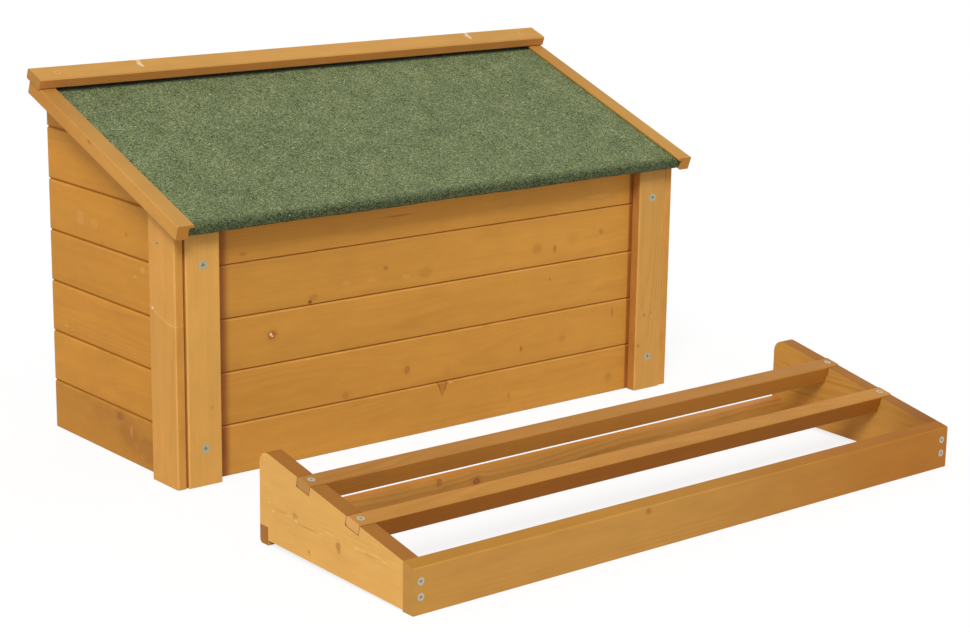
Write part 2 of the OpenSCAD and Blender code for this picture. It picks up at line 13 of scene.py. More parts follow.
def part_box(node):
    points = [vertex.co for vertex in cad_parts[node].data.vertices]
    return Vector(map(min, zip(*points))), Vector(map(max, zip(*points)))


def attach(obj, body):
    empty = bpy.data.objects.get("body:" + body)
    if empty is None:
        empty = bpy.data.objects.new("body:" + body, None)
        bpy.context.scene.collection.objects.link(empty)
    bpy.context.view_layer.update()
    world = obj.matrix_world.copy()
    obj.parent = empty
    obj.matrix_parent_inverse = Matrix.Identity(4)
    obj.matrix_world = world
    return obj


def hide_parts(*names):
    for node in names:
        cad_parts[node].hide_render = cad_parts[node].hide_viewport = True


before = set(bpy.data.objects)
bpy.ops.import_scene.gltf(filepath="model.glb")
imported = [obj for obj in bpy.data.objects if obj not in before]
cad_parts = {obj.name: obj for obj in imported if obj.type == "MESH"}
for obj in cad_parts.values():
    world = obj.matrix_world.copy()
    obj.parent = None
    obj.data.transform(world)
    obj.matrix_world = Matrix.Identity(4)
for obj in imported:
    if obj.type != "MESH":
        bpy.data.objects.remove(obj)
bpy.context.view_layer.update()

# Places

X = Vector((1, 0, 0))
Y = Vector((0, 1, 0))
Z = Vector((0, 0, 1))

# The lid's own directions, up its slope and out of it, and the foot of its board
LID_PITCH = math.radians(20.4)
LID_ALONG = Vector((0, math.cos(LID_PITCH), math.sin(LID_PITCH)))
LID_OUT = Vector((0, -math.sin(LID_PITCH), math.cos(LID_PITCH)))
LID_ORIGIN = Vector((0, 0.0973626, 0.3995))

# The slope on top of the rack's sides
RACK_BACK_HEIGHT = 0.1385
RACK_FRONT_HEIGHT = 0.0695
RACK_SLOPE_RUN = 0.330
RACK_PITCH = math.atan((RACK_BACK_HEIGHT - RACK_FRONT_HEIGHT) / RACK_SLOPE_RUN)
RACK_ALONG = Vector((0, math.cos(RACK_PITCH), math.sin(RACK_PITCH)))
RACK_OUT = Vector((0, -math.sin(RACK_PITCH), math.cos(RACK_PITCH)))

SIDES = (("left", -1), ("right", 1))


def linear(red, green, blue):
    """A colour written as 8-bit screen values, as the shader wants it."""
    def one(c):
        c /= 255
        return c / 12.92 if c <= 0.04045 else ((c + 0.055) / 1.055) ** 2.4
    return (one(red), one(green), one(blue), 1.0)


# Node formulas


class Value:
    """A number in a material's node tree, so that a pattern reads as a formula."""

    def __init__(self, net, socket):
        self.net = net
        self.socket = socket

    def __add__(self, other):
        return self.net.math("ADD", self, other)

    def __sub__(self, other):
        return self.net.math("SUBTRACT", self, other)

    def __rsub__(self, other):
        return self.net.math("SUBTRACT", other, self)

    def __mul__(self, other):
        return self.net.math("MULTIPLY", self, other)

    def __truediv__(self, other):
        return self.net.math("DIVIDE", self, other)

    __radd__ = __add__


class Net:
    """One material and the formulas that make it."""

    def __init__(self, name):
        self.material = bpy.data.materials.new(name)
        self.material.use_nodes = True
        self.tree = self.material.node_tree
        self.tree.nodes.clear()
        texture = self.node("ShaderNodeTexCoord")
        self.place = texture.outputs["Object"]
        self.normal = texture.outputs["Normal"]

    def node(self, kind, **settings):
        made = self.tree.nodes.new(kind)
        for key, value in settings.items():
            setattr(made, key, value)
        return made

    def feed(self, socket, value):
        """Link a formula or an output to a socket, or set a plain number or colour on it."""
        if isinstance(value, Value):
            value = value.socket
        if isinstance(value, bpy.types.NodeSocket):
            self.tree.links.new(value, socket)
        else:
            socket.default_value = value

    def math(self, operation, *values):
        made = self.node("ShaderNodeMath", operation=operation)
        for socket, value in zip(made.inputs, values):
            self.feed(socket, value)
        return Value(self, made.outputs[0])

    def dot(self, source, direction):
        made = self.node("ShaderNodeVectorMath", operation="DOT_PRODUCT")
        self.feed(made.inputs[0], source)
        made.inputs[1].default_value = direction
        return Value(self, made.outputs["Value"])

    def vector(self, x, y, z):
        made = self.node("ShaderNodeCombineXYZ")
        for socket, value in zip(made.inputs, (x, y, z)):
            self.feed(socket, value)
        return made.outputs[0]

    def noise(self, x, y, z, detail, roughness=0.5):
        """Clouds from 0 to 1 round a half, one to each unit of x, y and z."""
        made = self.node("ShaderNodeTexNoise", noise_dimensions="3D")
        self.feed(made.inputs["Vector"], self.vector(x, y, z))
        made.inputs["Scale"].default_value = 1.0
        made.inputs["Detail"].default_value = detail
        made.inputs["Roughness"].default_value = roughness
        return Value(self, made.outputs[0])

    def cells(self, scale, shift=0.0):
        """Distance to the nearest granule's middle, and a random number for each granule."""
        made = self.node("ShaderNodeTexVoronoi", voronoi_dimensions="3D")
        moved = self.node("ShaderNodeVectorMath", operation="ADD")
        self.feed(moved.inputs[0], self.place)
        moved.inputs[1].default_value = (shift, shift, shift)
        self.feed(made.inputs["Vector"], moved.outputs[0])
        made.inputs["Scale"].default_value = scale
        split = self.node("ShaderNodeSeparateColor")
        self.feed(split.inputs[0], made.outputs["Color"])
        return Value(self, made.outputs["Distance"]), Value(self, split.outputs[0])

    def step(self, value, low, high):
        """0 up to low, 1 from high, and smooth between."""
        made = self.node("ShaderNodeMapRange", interpolation_type="SMOOTHSTEP")
        self.feed(made.inputs["Value"], value)
        made.inputs["From Min"].default_value = low
        made.inputs["From Max"].default_value = high
        return Value(self, made.outputs[0])

    def mix(self, factor, first, second, blend="MIX"):
        made = self.node("ShaderNodeMix", data_type="RGBA", blend_type=blend)
        self.feed(made.inputs[0], factor)
        self.feed(made.inputs[6], first)
        self.feed(made.inputs[7], second)
        return made.outputs[2]

    def facing(self, direction):
        """1 on faces square to the direction, either way, and 0 on the others."""
        return self.step(self.math("ABSOLUTE", self.dot(self.normal, direction)), 0.7, 0.85)

    def shade(self, colour, amount):
        """The colour made lighter or darker by a number round 1."""
        grey = self.node("ShaderNodeCombineColor")
        for socket in grey.inputs:
            self.feed(socket, amount)
        return self.mix(1.0, colour, grey.outputs[0], "MULTIPLY")

    def finish(self, colour, roughness, height, depth, metallic=0.0, specular=0.3):
        """The surface, with a bump that stands out by the depth, in metres, where height is 1."""
        surface = self.node("ShaderNodeBsdfPrincipled")
        self.feed(surface.inputs["Base Color"], colour)
        self.feed(surface.inputs["Roughness"], roughness)
        surface.inputs["Metallic"].default_value = metallic
        surface.inputs["Specular IOR Level"].default_value = specular
        bump = self.node("ShaderNodeBump")
        bump.inputs["Strength"].default_value = 1.0
        bump.inputs["Distance"].default_value = depth
        self.feed(bump.inputs["Height"], height)
        self.feed(surface.inputs["Normal"], bump.outputs[0])
        output = self.node("ShaderNodeOutputMaterial")
        self.feed(output.inputs[0], surface.outputs[0])
        return self.material


# Wood


def tint(red, green, blue):
    """What a colour is multiplied by on some faces of a timber, or along it."""
    return (red, green, blue, 1.0)


NO_TINT = tint(1, 1, 1)

# Early and late wood, knots, their rims and painted shade, thin stain and painted highlights, bare
# wood and the joints between boards, then how strong the grain is and the painted highlight under a
# joint, then the tints on the edges, partly painted shade, the ends and the back, which is painted
# shade
STAINED = {
    "early": linear(200, 141, 58), "late": linear(174, 110, 36),
    "knot": linear(146, 82, 34), "groove": linear(118, 60, 10),
    "bare": linear(226, 168, 100), "chip": linear(240, 208, 172), "seam": linear(162, 96, 6),
    "grain": 0.3, "gleam": 0.4,
    "narrow": tint(0.86, 0.78, 0.66), "end": tint(0.86, 0.78, 0.66), "back": NO_TINT,
}
SIDE = dict(STAINED, early=linear(200, 136, 45), late=linear(172, 104, 28),
            groove=linear(152, 90, 22), seam=linear(178, 112, 14), gleam=0.3)
LIGHT = dict(STAINED, early=linear(212, 157, 77), late=linear(190, 130, 50),
             narrow=tint(0.78, 0.66, 0.5))
BATTEN = dict(LIGHT, early=linear(211, 151, 70), late=linear(190, 126, 48),
              narrow=tint(0.87, 0.82, 0.62))
BARGE = dict(LIGHT, early=linear(205, 146, 65), late=linear(182, 120, 42),
             narrow=tint(0.78, 0.85, 1.0))
# The top batten's darker narrow front face is painted shade
TOP = dict(LIGHT, early=linear(191, 140, 68), late=linear(168, 112, 44),
           narrow=tint(1.0, 0.79, 0.76))
# The darker back of the rack's sides, their inner faces, is painted shade
RACK = dict(STAINED, early=linear(226, 171, 89), late=linear(200, 140, 60),
            bare=linear(246, 206, 136),
            narrow=tint(0.43, 0.31, 0.17), back=tint(0.79, 0.73, 0.56))
RAIL = dict(STAINED, early=linear(190, 137, 62), late=linear(162, 104, 38),
            narrow=tint(0.82, 0.76, 0.5), end=NO_TINT)
# The bars' darker narrow front faces are painted shade
FRONT_BAR = dict(STAINED, early=linear(184, 128, 57), late=linear(154, 96, 34), grain=0.5,
                 narrow=tint(0.73, 0.55, 0.27), end=tint(1.55, 1.8, 2.9))
BACK_BAR = dict(STAINED, early=linear(172, 118, 53), late=linear(144, 88, 32), grain=0.5,
                narrow=tint(1.0, 0.88, 0.52), end=tint(1.3, 1.4, 1.7))
BACK_RAIL = dict(STAINED, early=linear(212, 153, 73), late=linear(156, 96, 38), grain=0.6,
                 narrow=tint(0.8, 0.7, 0.6), end=tint(0.62, 0.5, 0.4))
PLAIN = dict(STAINED, early=linear(222, 186, 132), late=linear(194, 148, 92),
             knot=linear(150, 96, 56), groove=linear(120, 80, 40), grain=0.6,
             narrow=NO_TINT, end=tint(0.84, 0.8, 0.76))

# The width of a year's ring in the log, and how far the next seed's noise is shifted
RING_WIDTH = 0.0034
NOISE_STEP = 7.31
PLY_STEP = 5.17
# From full to none, in metres: thin stain with a painted highlight along an arris, the painted shade
# round a bar's seat, and the painted soft shade over a joint
RUB_AND_HIGHLIGHT_EDGE = (0.0012, 0.0026)
SEAT_SHADE_EDGE = (0.0008, 0.002)
JOINT_SHADE = 0.016
# The painted highlight on the arris under a joint: its distance from the dark band, and from full to
# none
GLEAM_BELOW = 0.0014
GLEAM_EDGE = (0.0008, 0.0016)
# The drip along the brush's overlap line, and how sharp that line is
DRIP_EDGE = (0.0005, 0.0017)
OVERLAP_EDGE = 0.0005

PLY_LIGHT = linear(212, 174, 122)
PLY_DARK = linear(186, 142, 92)
PLY_CORE = linear(132, 88, 48)
# How many pairs of a light and a dark layer a sheet has
PLY_PAIRS = 2.5


class Wood:
    """One piece of softwood: its coordinates and noises, and its colour as it is built up.

    The coordinates are a along the grain, w across it and d out of the face."""

    def __init__(self, name, grain, width, face, look, seed):
        self.net = Net(name)
        self.look = look
        self.ways = (grain, width, face)
        self.a, self.w, self.d = (self.net.dot(self.net.place, way) for way in self.ways)
        self.shift = seed * NOISE_STEP
        self.fine = self.clouds(16.0, 90.0, 2.0)
        self.ragged = self.clouds(160.0, 160.0, 3.0, 0.65)
        self.fibre = self.clouds(11.0, 420.0, 2.0)
        self.brush = self.clouds(5.0, 60.0, 2.0)
        self.mottle = self.clouds(18.0, 38.0, 3.0, 0.6)
        self.wide = self.clouds(3.0, 9.0, 2.0)

    def clouds(self, along, across, detail, roughness=0.5):
        """Noise round 0, with so many clouds to a metre along the grain and across it."""
        return self.net.noise(self.a * along + self.shift, self.w * across, self.d * across,
                              detail, roughness) - 0.5

    def spot(self, along, across, length, height, rough):
        """1 at the rim of an oval with a ragged outline, and 0 in its middle."""
        da = (self.a - along) / length
        dw = (self.w - across) / height
        return self.net.math("SQRT", da * da + dw * dw) + self.ragged * rough

    def lay(self, amount, key):
        """Lay one of the look's colours over what is there."""
        self.colour = self.net.mix(amount, self.colour, self.look[key])

    def multiply(self, amount, colour):
        self.colour = self.net.mix(amount, self.colour, colour, "MULTIPLY")

    def draw_rings(self, pith, knots):
        """Late wood in the year's rings round the pith, which bend round the knots."""
        net = self.net
        bent = self.w
        for reach, across, dark in knots:
            pull = net.math("EXPONENT", reach * reach * -0.16)
            bent = bent - (self.w - across) * pull * 0.92
        wander = self.clouds(1.5, 3.0, 1.0)
        beside = bent + wander * 0.07 - pith[0]
        deep = self.d + wander * 0.03 - pith[1]
        rings = net.math("SQRT", beside * beside + deep * deep) / RING_WIDTH + self.fine * 0.5
        phase = net.math("FRACT", rings)
        each = net.node("ShaderNodeTexWhiteNoise", noise_dimensions="1D")
        net.feed(each.inputs["W"], net.math("FLOOR", rings) + self.shift)
        strength = Value(net, each.outputs["Value"]) * 0.75 + 0.25
        patch = net.noise(self.a * 4.0 + self.shift, self.w * 14.0, self.d * 14.0, 2.0)
        late = net.step(phase, 0.25, 0.85) * (1.0 - net.step(phase, 0.9, 1.0)) * strength
        self.late = late * net.step(patch, 0.3, 0.75)
        self.colour = net.mix(self.late * self.look["grain"], self.look["early"], self.look["late"])

    def draw_knots(self, knots):
        """Each knot's halo and body, and the dark rim round it."""
        step = self.net.step
        for reach, across, dark in knots:
            halo = 1.0 - step(reach, 0.8, 2.6)
            body = 1.0 - step(reach, 0.6, 1.3)
            rim = step(reach, 0.45, 0.85) * (1.0 - step(reach, 0.95, 1.35))
            self.lay((halo * 0.2 + body * 0.4) * dark, "knot")
            self.lay(rim * 0.3 * dark * dark, "groove")

    def draw_wedge(self, along, top, foot, half):
        """A splinter, widest at its top and pointed at its foot."""
        net = self.net
        span = net.math("MAXIMUM", (self.w - foot) * (half / (top - foot)), 0.0003)
        reach = net.math("ABSOLUTE", self.a - along + self.ragged * 0.003) / span
        over = net.step(self.w, foot - 0.001, foot + 0.002)
        rim = net.step(reach, 0.6, 0.9) * (1.0 - net.step(reach, 1.0, 1.3)) * over
        self.lay((1.0 - net.step(reach, 0.8, 1.2)) * over * 0.35, "knot")
        self.lay(rim * 0.5, "groove")

    def draw_stain(self, tone, overlap):
        """The uneven stain, and the line that the brush has left, with its pale drip."""
        net = self.net
        stain = self.fibre * 0.12 + self.brush * 0.1 + self.mottle * 0.22 + self.wide * 0.2 + tone
        if overlap:
            along, across, bend = overlap
            beside = self.w - across
            over = self.a - along - beside * beside * bend + self.mottle * 0.004
            stain = stain + net.step(over, -OVERLAP_EDGE, OVERLAP_EDGE) * 0.05
            drip = 1.0 - net.step(net.math("ABSOLUTE", over), *DRIP_EDGE)
            self.lay(drip * net.step(self.mottle, -0.2, 0.0) * 0.85, "bare")
        self.colour = net.shade(self.colour, stain)

    def draw_fade(self, start, stop):
        """One tint up to a place along the grain, another from a second place, mixed between."""
        between = self.net.step(self.a, start[0], stop[0])
        self.multiply(1.0, self.net.mix(between, start[1], stop[1]))

    def draw_post_shade(self, place, reach):
        """Painted shade by a front post, with darker stain, round a place along the grain."""
        near = 1.0 - self.net.step(self.net.math("ABSOLUTE", self.a - place), reach * 0.5, reach)
        self.lay(near * (0.85 + self.wide), "knot")

    def draw_rub_and_highlight(self, low, high, thin):
        """Thin stain and a painted highlight along the arrises at both sides of the face."""
        inside = self.net.math("MINIMUM", self.w - low, high - self.w)
        self.lay((1.0 - self.net.step(inside, *RUB_AND_HIGHLIGHT_EDGE)) * (self.mottle + thin), "bare")

    def draw_faces(self):
        """The tints of the edges, the ends and the back. The edges' tint is partly their own darker
        stain and partly painted shade, and the back's, on the rack sides' inner faces, is painted
        shade.
        """
        net = self.net
        grain, width, face = self.ways
        # Darker narrow faces: partly their own stain, partly painted shade
        self.multiply(net.facing(width), self.look["narrow"])
        self.multiply(net.facing(grain), self.look["end"])
        # Painted shade on the back faces
        self.multiply(net.step(net.dot(net.normal, face), -0.7, -0.85), self.look["back"])

    def draw_seams(self, low_joint, high_joint):
        """The dark bands at the joints, a painted highlight on the arris under the upper one and a
        painted soft shade above the lower one.
        """
        net = self.net
        below, foot = low_joint
        above, head = high_joint
        rough = self.ragged * 0.0008 + self.mottle * 0.0012
        dark_foot = 1.0 - net.step(self.w - below + rough, foot * 0.5, foot)
        dark_head = 1.0 - net.step(above - self.w + rough, head * 0.5, head)
        line = net.math("ABSOLUTE", above - self.w - head - GLEAM_BELOW)
        light = (1.0 - net.step(line, *GLEAM_EDGE)) * self.look["gleam"]
        soft = 1.0 - net.step(self.w - below, 0.0, JOINT_SHADE)
        # Painted highlight, laid in the thin stain's colour
        self.lay(light * (0.4 + self.mottle * 1.5), "bare")
        self.lay(net.math("MAXIMUM", dark_foot, dark_head) * 0.8, "seam")
        # Painted soft shade above the joint below
        self.lay(soft * 0.1, "groove")

    def draw_notch(self, middle, foot):
        """Painted shade: the dark line in the gap round a bar's seat."""
        net = self.net
        beside = net.math("ABSOLUTE", net.dot(net.place, RACK_ALONG) - middle) - PERCH_W / 2
        gap = net.math("MAXIMUM", beside, foot - net.dot(net.place, RACK_OUT))
        self.lay((1.0 - net.step(gap, *SEAT_SHADE_EDGE)) * 0.8, "groove")

    def draw_chip(self, along, across, length, height, bare):
        """Bare wood where it is strong, and thin stain where it is weak."""
        reach = self.spot(along, across, length, height, 1.6)
        self.lay((1.0 - self.net.step(reach, 0.6, 1.1)) * bare, "chip" if bare > 0.5 else "bare")

    def finish(self):
        height = self.fibre * 0.5 + self.late * 0.4 + self.mottle * 0.3
        return self.net.finish(self.colour, self.fibre * 0.25 + 0.62, height, 0.0002, specular=0.2)


def wood(name, grain, width, face, look, seed, pith, knots=(), chips=(), seams=None, fade=None,
         smudges=(), wedge=None, overlap=None, notches=(), rubbed=None, tone=1.0):
    """Softwood sawn from a log whose pith runs along the grain at pith = (across, deep).

    Knots and chips are (along the grain, across it, half length, half height, strength). Seams are
    the joints with the boards below and above, each with the width of its dark band. Fade is a
    tint at each of two places along the grain. The painted shade by a front post, with darker stain,
    is (place along the grain, reach). A wedge is (along, top, foot, half width), an overlap (along,
    across, bend), a notch (along the rack, foot), with painted shade round it. The thin stain with a
    painted highlight along the arrises is (low, high, how thin), and tone makes the whole piece
    lighter."""
    piece = Wood(name, grain, width, face, look, seed)
    knots = [(piece.spot(*knot[:4], 0.9) + piece.fine * 0.8, knot[1], knot[4]) for knot in knots]
    piece.draw_rings(pith, knots)
    piece.draw_knots(knots)
    if wedge:
        piece.draw_wedge(*wedge)
    piece.draw_stain(tone, overlap)
    if fade:
        piece.draw_fade(*fade)
    # The painted shade by the front posts
    for smudge in smudges:
        piece.draw_post_shade(*smudge)
    if rubbed:
        piece.draw_rub_and_highlight(*rubbed)
    piece.draw_faces()
    if seams:
        piece.draw_seams(*seams)
    for notch in notches:
        piece.draw_notch(*notch)
    for chip in chips:
        piece.draw_chip(*chip)
    return piece.finish()


def plywood(name, grain, out, foot, thickness, seed):
    """Sheets of veneer: a calm face, and light and dark layers on every edge.

    The coordinates a and w run along and across the grain, and d out of the sheet."""
    net = Net(name)
    side = grain.cross(out)
    a = net.dot(net.place, grain)
    w = net.dot(net.place, side)
    d = net.dot(net.place, out)
    shift = seed * PLY_STEP
    wave = net.noise(a * 2.0 + shift, w * 7.0, d * 7.0, 2.0)
    bands = net.math("SINE", wave * 60.0) * 0.5 + 0.5
    fibre = net.noise(a * 12.0 + shift, w * 330.0, d * 330.0, 2.0) - 0.5
    mottle = net.noise(a * 9.0 + shift, w * 16.0, d * 16.0, 3.0) - 0.5
    layer = net.math("FRACT", (d - foot) / (thickness / PLY_PAIRS))
    dark = net.step(layer, 0.46, 0.5) * (1.0 - net.step(layer, 0.94, 0.99))
    edges = 1.0 - net.step(net.math("ABSOLUTE", net.dot(net.normal, out)), 0.5, 0.8)
    colour = net.mix(bands * 0.35, PLY_LIGHT, PLY_DARK)
    colour = net.mix(dark * edges * 0.7, colour, PLY_CORE)
    colour = net.shade(colour, fibre * 0.18 + mottle * 0.2 + 1.0)
    return net.finish(colour, fibre * 0.2 + 0.62, fibre * 0.5 + bands * 0.2 - dark * edges, 0.0003)


def pith_for(node, width, face, seed, depth, aside):
    """Where the log's pith lies for a piece: beside and behind its middle."""
    low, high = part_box(node)
    middle = (low + high) / 2
    rng = random.Random(seed)
    return (
        middle.dot(width) + rng.uniform(-aside, aside),
        middle.dot(face) - depth * rng.uniform(0.75, 1.3),
    )


def dress(node, material):
    """Give every face of a CAD node the material."""
    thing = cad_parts[node]
    if not thing.material_slots:
        thing.data.materials.append(material)
    for place in thing.material_slots:
        place.material = material


# The width of a rounded arris, the bend up to which faces count as one flat face, and the bend
# from which an edge is an arris
ARRIS = 0.0007
FLAT_WITHIN = math.radians(0.5)
ARRIS_FROM = math.radians(35)


def soften(node):
    """Round a timber's arrises a little. The CAD mesh itself stays as it is."""
    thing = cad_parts[node]
    flat = thing.modifiers.new("flat", "DECIMATE")
    flat.decimate_type = "DISSOLVE"
    flat.angle_limit = FLAT_WITHIN
    bevel = thing.modifiers.new("arris", "BEVEL")
    bevel.width = ARRIS
    bevel.segments = 2
    bevel.limit_method = "ANGLE"
    bevel.angle_limit = ARRIS_FROM


def timber(node, grain, width, face, look, seed, depth=0.06, aside=0.03, rub=0.0, **marks):
    """Dress a CAD timber in its own piece of wood."""
    low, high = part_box(node)
    # Thin stain with a painted highlight along both arrises of the face
    if rub:
        marks["rubbed"] = (low.dot(width), high.dot(width), rub)
    pith = pith_for(node, width, face, seed, depth, aside)
    dress(node, wood("wood_" + node, grain, width, face, look, seed, pith, **marks))
    soften(node)


# Stands for the joint that a lowest or top board doesn't have
NO_JOINT = 1.0


def wall_seams(wall, index, last, foot, head):
    """The joints below and above a wall's board, with the widths of their dark bands."""
    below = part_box(f"{wall}_board_{index}")[0].z
    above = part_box(f"{wall}_board_{index + 1}")[0].z if index < last else NO_JOINT
    return (below if index > 1 else -NO_JOINT, foot), (above, head)


def seat(node):
    """A bar's seat in the rack's sides: its place along them and its foot."""
    low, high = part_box(node)
    middle = (low + high) / 2
    return middle.dot(RACK_ALONG), middle.dot(RACK_OUT) + PERCH_H / 2 - PERCH_LAP


# The front boards' knots, from the lowest up
FRONT_KNOTS = {
    1: [(0.3787, 0.0275, 0.007, 0.006, 0.45), (0.1542, 0.0322, 0.0022, 0.005, 0.5)],
    2: [(-0.0597, 0.1118, 0.0048, 0.0055, 0.8), (-0.181, 0.0907, 0.005, 0.0045, 0.5),
        (0.1797, 0.1099, 0.0024, 0.004, 0.9), (0.2701, 0.1133, 0.006, 0.005, 0.4),
        (0.3841, 0.1431, 0.0026, 0.006, 0.65), (0.1023, 0.1622, 0.006, 0.003, 0.6),
        (0.0239, 0.0969, 0.006, 0.005, 0.3)],
    3: [(-0.3188, 0.2094, 0.0076, 0.0068, 0.95), (0.2404, 0.2208, 0.0016, 0.0025, 0.7)],
    4: [(-0.1034, 0.2859, 0.0036, 0.0026, 0.8), (-0.0236, 0.2684, 0.011, 0.008, 0.4),
        (-0.2417, 0.258, 0.007, 0.0035, 0.5), (-0.2484, 0.2512, 0.0028, 0.0022, 2.0),
        (0.2104, 0.2773, 0.008, 0.007, 0.45), (0.2493, 0.2724, 0.0022, 0.0045, 0.9),
        (0.2894, 0.2871, 0.01, 0.009, 0.22), (0.3533, 0.2887, 0.0034, 0.0034, 0.7)],
    5: [(-0.3698, 0.342, 0.0045, 0.0022, 0.6), (-0.0799, 0.367, 0.02, 0.0011, 0.8)],
}
# Their chips
FRONT_CHIPS = {
    1: [(0.0296, 0.0762, 0.0024, 0.0014, 0.7), (-0.0245, 0.0795, 0.003, 0.0012, 0.5)],
    3: [(-0.3216, 0.2106, 0.0024, 0.0026, 1.0), (-0.3186, 0.2074, 0.0017, 0.0017, 0.9)],
    4: [(-0.1803, 0.2719, 0.007, 0.004, 0.22), (-0.1301, 0.2699, 0.012, 0.004, 0.22),
        (-0.0631, 0.2673, 0.01, 0.004, 0.22)],
    5: [(0.345, 0.351, 0.03, 0.003, 0.35)],
}
# The left side's knots and dark patches
LEFT_KNOTS = {
    1: [(0.2953, 0.066, 0.009, 0.006, 0.8), (0.27, 0.045, 0.026, 0.018, 0.5),
        (0.21, 0.03, 0.028, 0.018, 0.45), (0.35, 0.06, 0.03, 0.01, 0.3)],
    3: [(0.4504, 0.1776, 0.005, 0.004, 0.3)],
    5: [(0.3372, 0.3299, 0.005, 0.005, 0.5), (0.2633, 0.36, 0.003, 0.003, 0.6)],
    6: [(0.26, 0.44, 0.004, 0.004, 0.4)],
}
LEFT_CHIPS = {
    1: [(0.262, 0.05, 0.005, 0.01, 0.25)],
    3: [(0.4558, 0.1782, 0.009, 0.0017, 0.5)],
    4: [(0.2174, 0.3144, 0.008, 0.006, 0.35), (0.24, 0.3, 0.006, 0.003, 0.35)],
    5: [(0.4043, 0.3635, 0.014, 0.012, 0.22), (0.36, 0.361, 0.012, 0.01, 0.18)],
}
# Bare wood on both side battens
BATTEN_CHIPS = [(0.2695, 0.1635, 0.0026, 0.003, 0.8), (0.2635, 0.1545, 0.0024, 0.002, 0.5),
                (0.2592, 0.1426, 0.0014, 0.0024, 0.5)]
# For the left (-1) and the right (1): the knots of the front posts and of the rack's sides, how
# strong the grain of the rack's sides is, and the darker front end of the right one
POST_KNOTS = {-1: [(0.12, -0.44, 0.002, 0.002, 0.4)],
              1: [(0.1337, 0.4411, 0.0022, 0.0022, 0.7), (0.0798, 0.4292, 0.0026, 0.0026, 0.7),
                  (0.136, 0.457, 0.0016, 0.0016, 0.6)]}
RACK_KNOTS = {
    -1: [(-0.3446, 0.048, 0.004, 0.005, 0.8), (-0.3469, 0.041, 0.003, 0.003, 0.6),
         (-0.2769, 0.0197, 0.0022, 0.0024, 0.7), (-0.2438, 0.062, 0.005, 0.0034, 0.6),
         (-0.21, 0.059, 0.012, 0.001, 0.35), (-0.275, 0.0525, 0.016, 0.0012, 0.4),
         (-0.415, 0.0545, 0.014, 0.001, 0.4)],
    1: [(-0.3, 0.06, 0.005, 0.004, 0.6)],
}
RACK_GRAIN = {-1: 0.3, 1: 0.9}
RACK_FADE = {-1: None, 1: ((-0.49, tint(0.8, 0.7, 0.62)), (-0.38, NO_TINT))}
# The pale figure along the rack's left side
FIGURE = [(-0.1804, 0.0647, 0.004, 0.0016, 0.4), (-0.19, 0.0543, 0.006, 0.0022, 0.45),
          (-0.2285, 0.0575, 0.009, 0.0012, 0.3), (-0.2462, 0.0554, 0.004, 0.002, 0.5),
          (-0.3053, 0.0536, 0.008, 0.0018, 0.35), (-0.322, 0.0585, 0.012, 0.001, 0.4),
          (-0.3853, 0.0571, 0.005, 0.0024, 0.35), (-0.3987, 0.0568, 0.012, 0.001, 0.4),
          (-0.4274, 0.0583, 0.015, 0.0012, 0.35), (-0.447, 0.0559, 0.007, 0.0016, 0.4)]
# A knot on both barge boards
BARGE_KNOT = Vector((0, 0.3186, 0.4973))
# The line that the brush has left on both side battens
OVERLAP = (0.2515, 0.098, 3.9)

# A perch bar's width and height, and how deep it lies in the rack's sides
PERCH_W = 0.029
PERCH_H = 0.0285
PERCH_LAP = 0.0145

# How many boards a wall has, and the height that each of them covers
FRONT_BOARDS = 5
SIDE_BOARDS = 7
BOARD_COVER = 0.083
# The dark bands at a board's foot and head, which show wider on the sides
FRONT_BANDS = (0.0022, 0.0008)
SIDE_BANDS = (0.0034, 0.003)
FRONT_FADE = ((-0.45, tint(0.97, 0.97, 0.97)), (0.45, tint(1.03, 1.04, 1.04)))
# The splinter on the lowest front board
WEDGE = (0.013, 0.078, 0.0541, 0.0095)
# How far the painted shade, with darker stain, reaches from the left and the right front post
POST_SHADES = (0.03, 0.008)
# The top front board is lighter, as the felt's edge shades it, and these two are darker
TOP_BOARD_TONE = 1.14
LOW_SIDE_TONE = 0.88
RIGHT_POST_TONE = 0.88

post_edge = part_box("right_front_post")[0].x
for index in range(1, FRONT_BOARDS + 1):
    timber(f"front_board_{index}", X, Z, -Y, STAINED, 10 + index, depth=0.07, aside=0.05,
           knots=FRONT_KNOTS.get(index, ()), chips=FRONT_CHIPS.get(index, ()),
           seams=wall_seams("front", index, FRONT_BOARDS, *FRONT_BANDS), fade=FRONT_FADE,
           smudges=[(-post_edge, POST_SHADES[0]), (post_edge, POST_SHADES[1])],
           wedge=WEDGE if index == 1 else None,
           tone=TOP_BOARD_TONE if index == FRONT_BOARDS else 1.0)

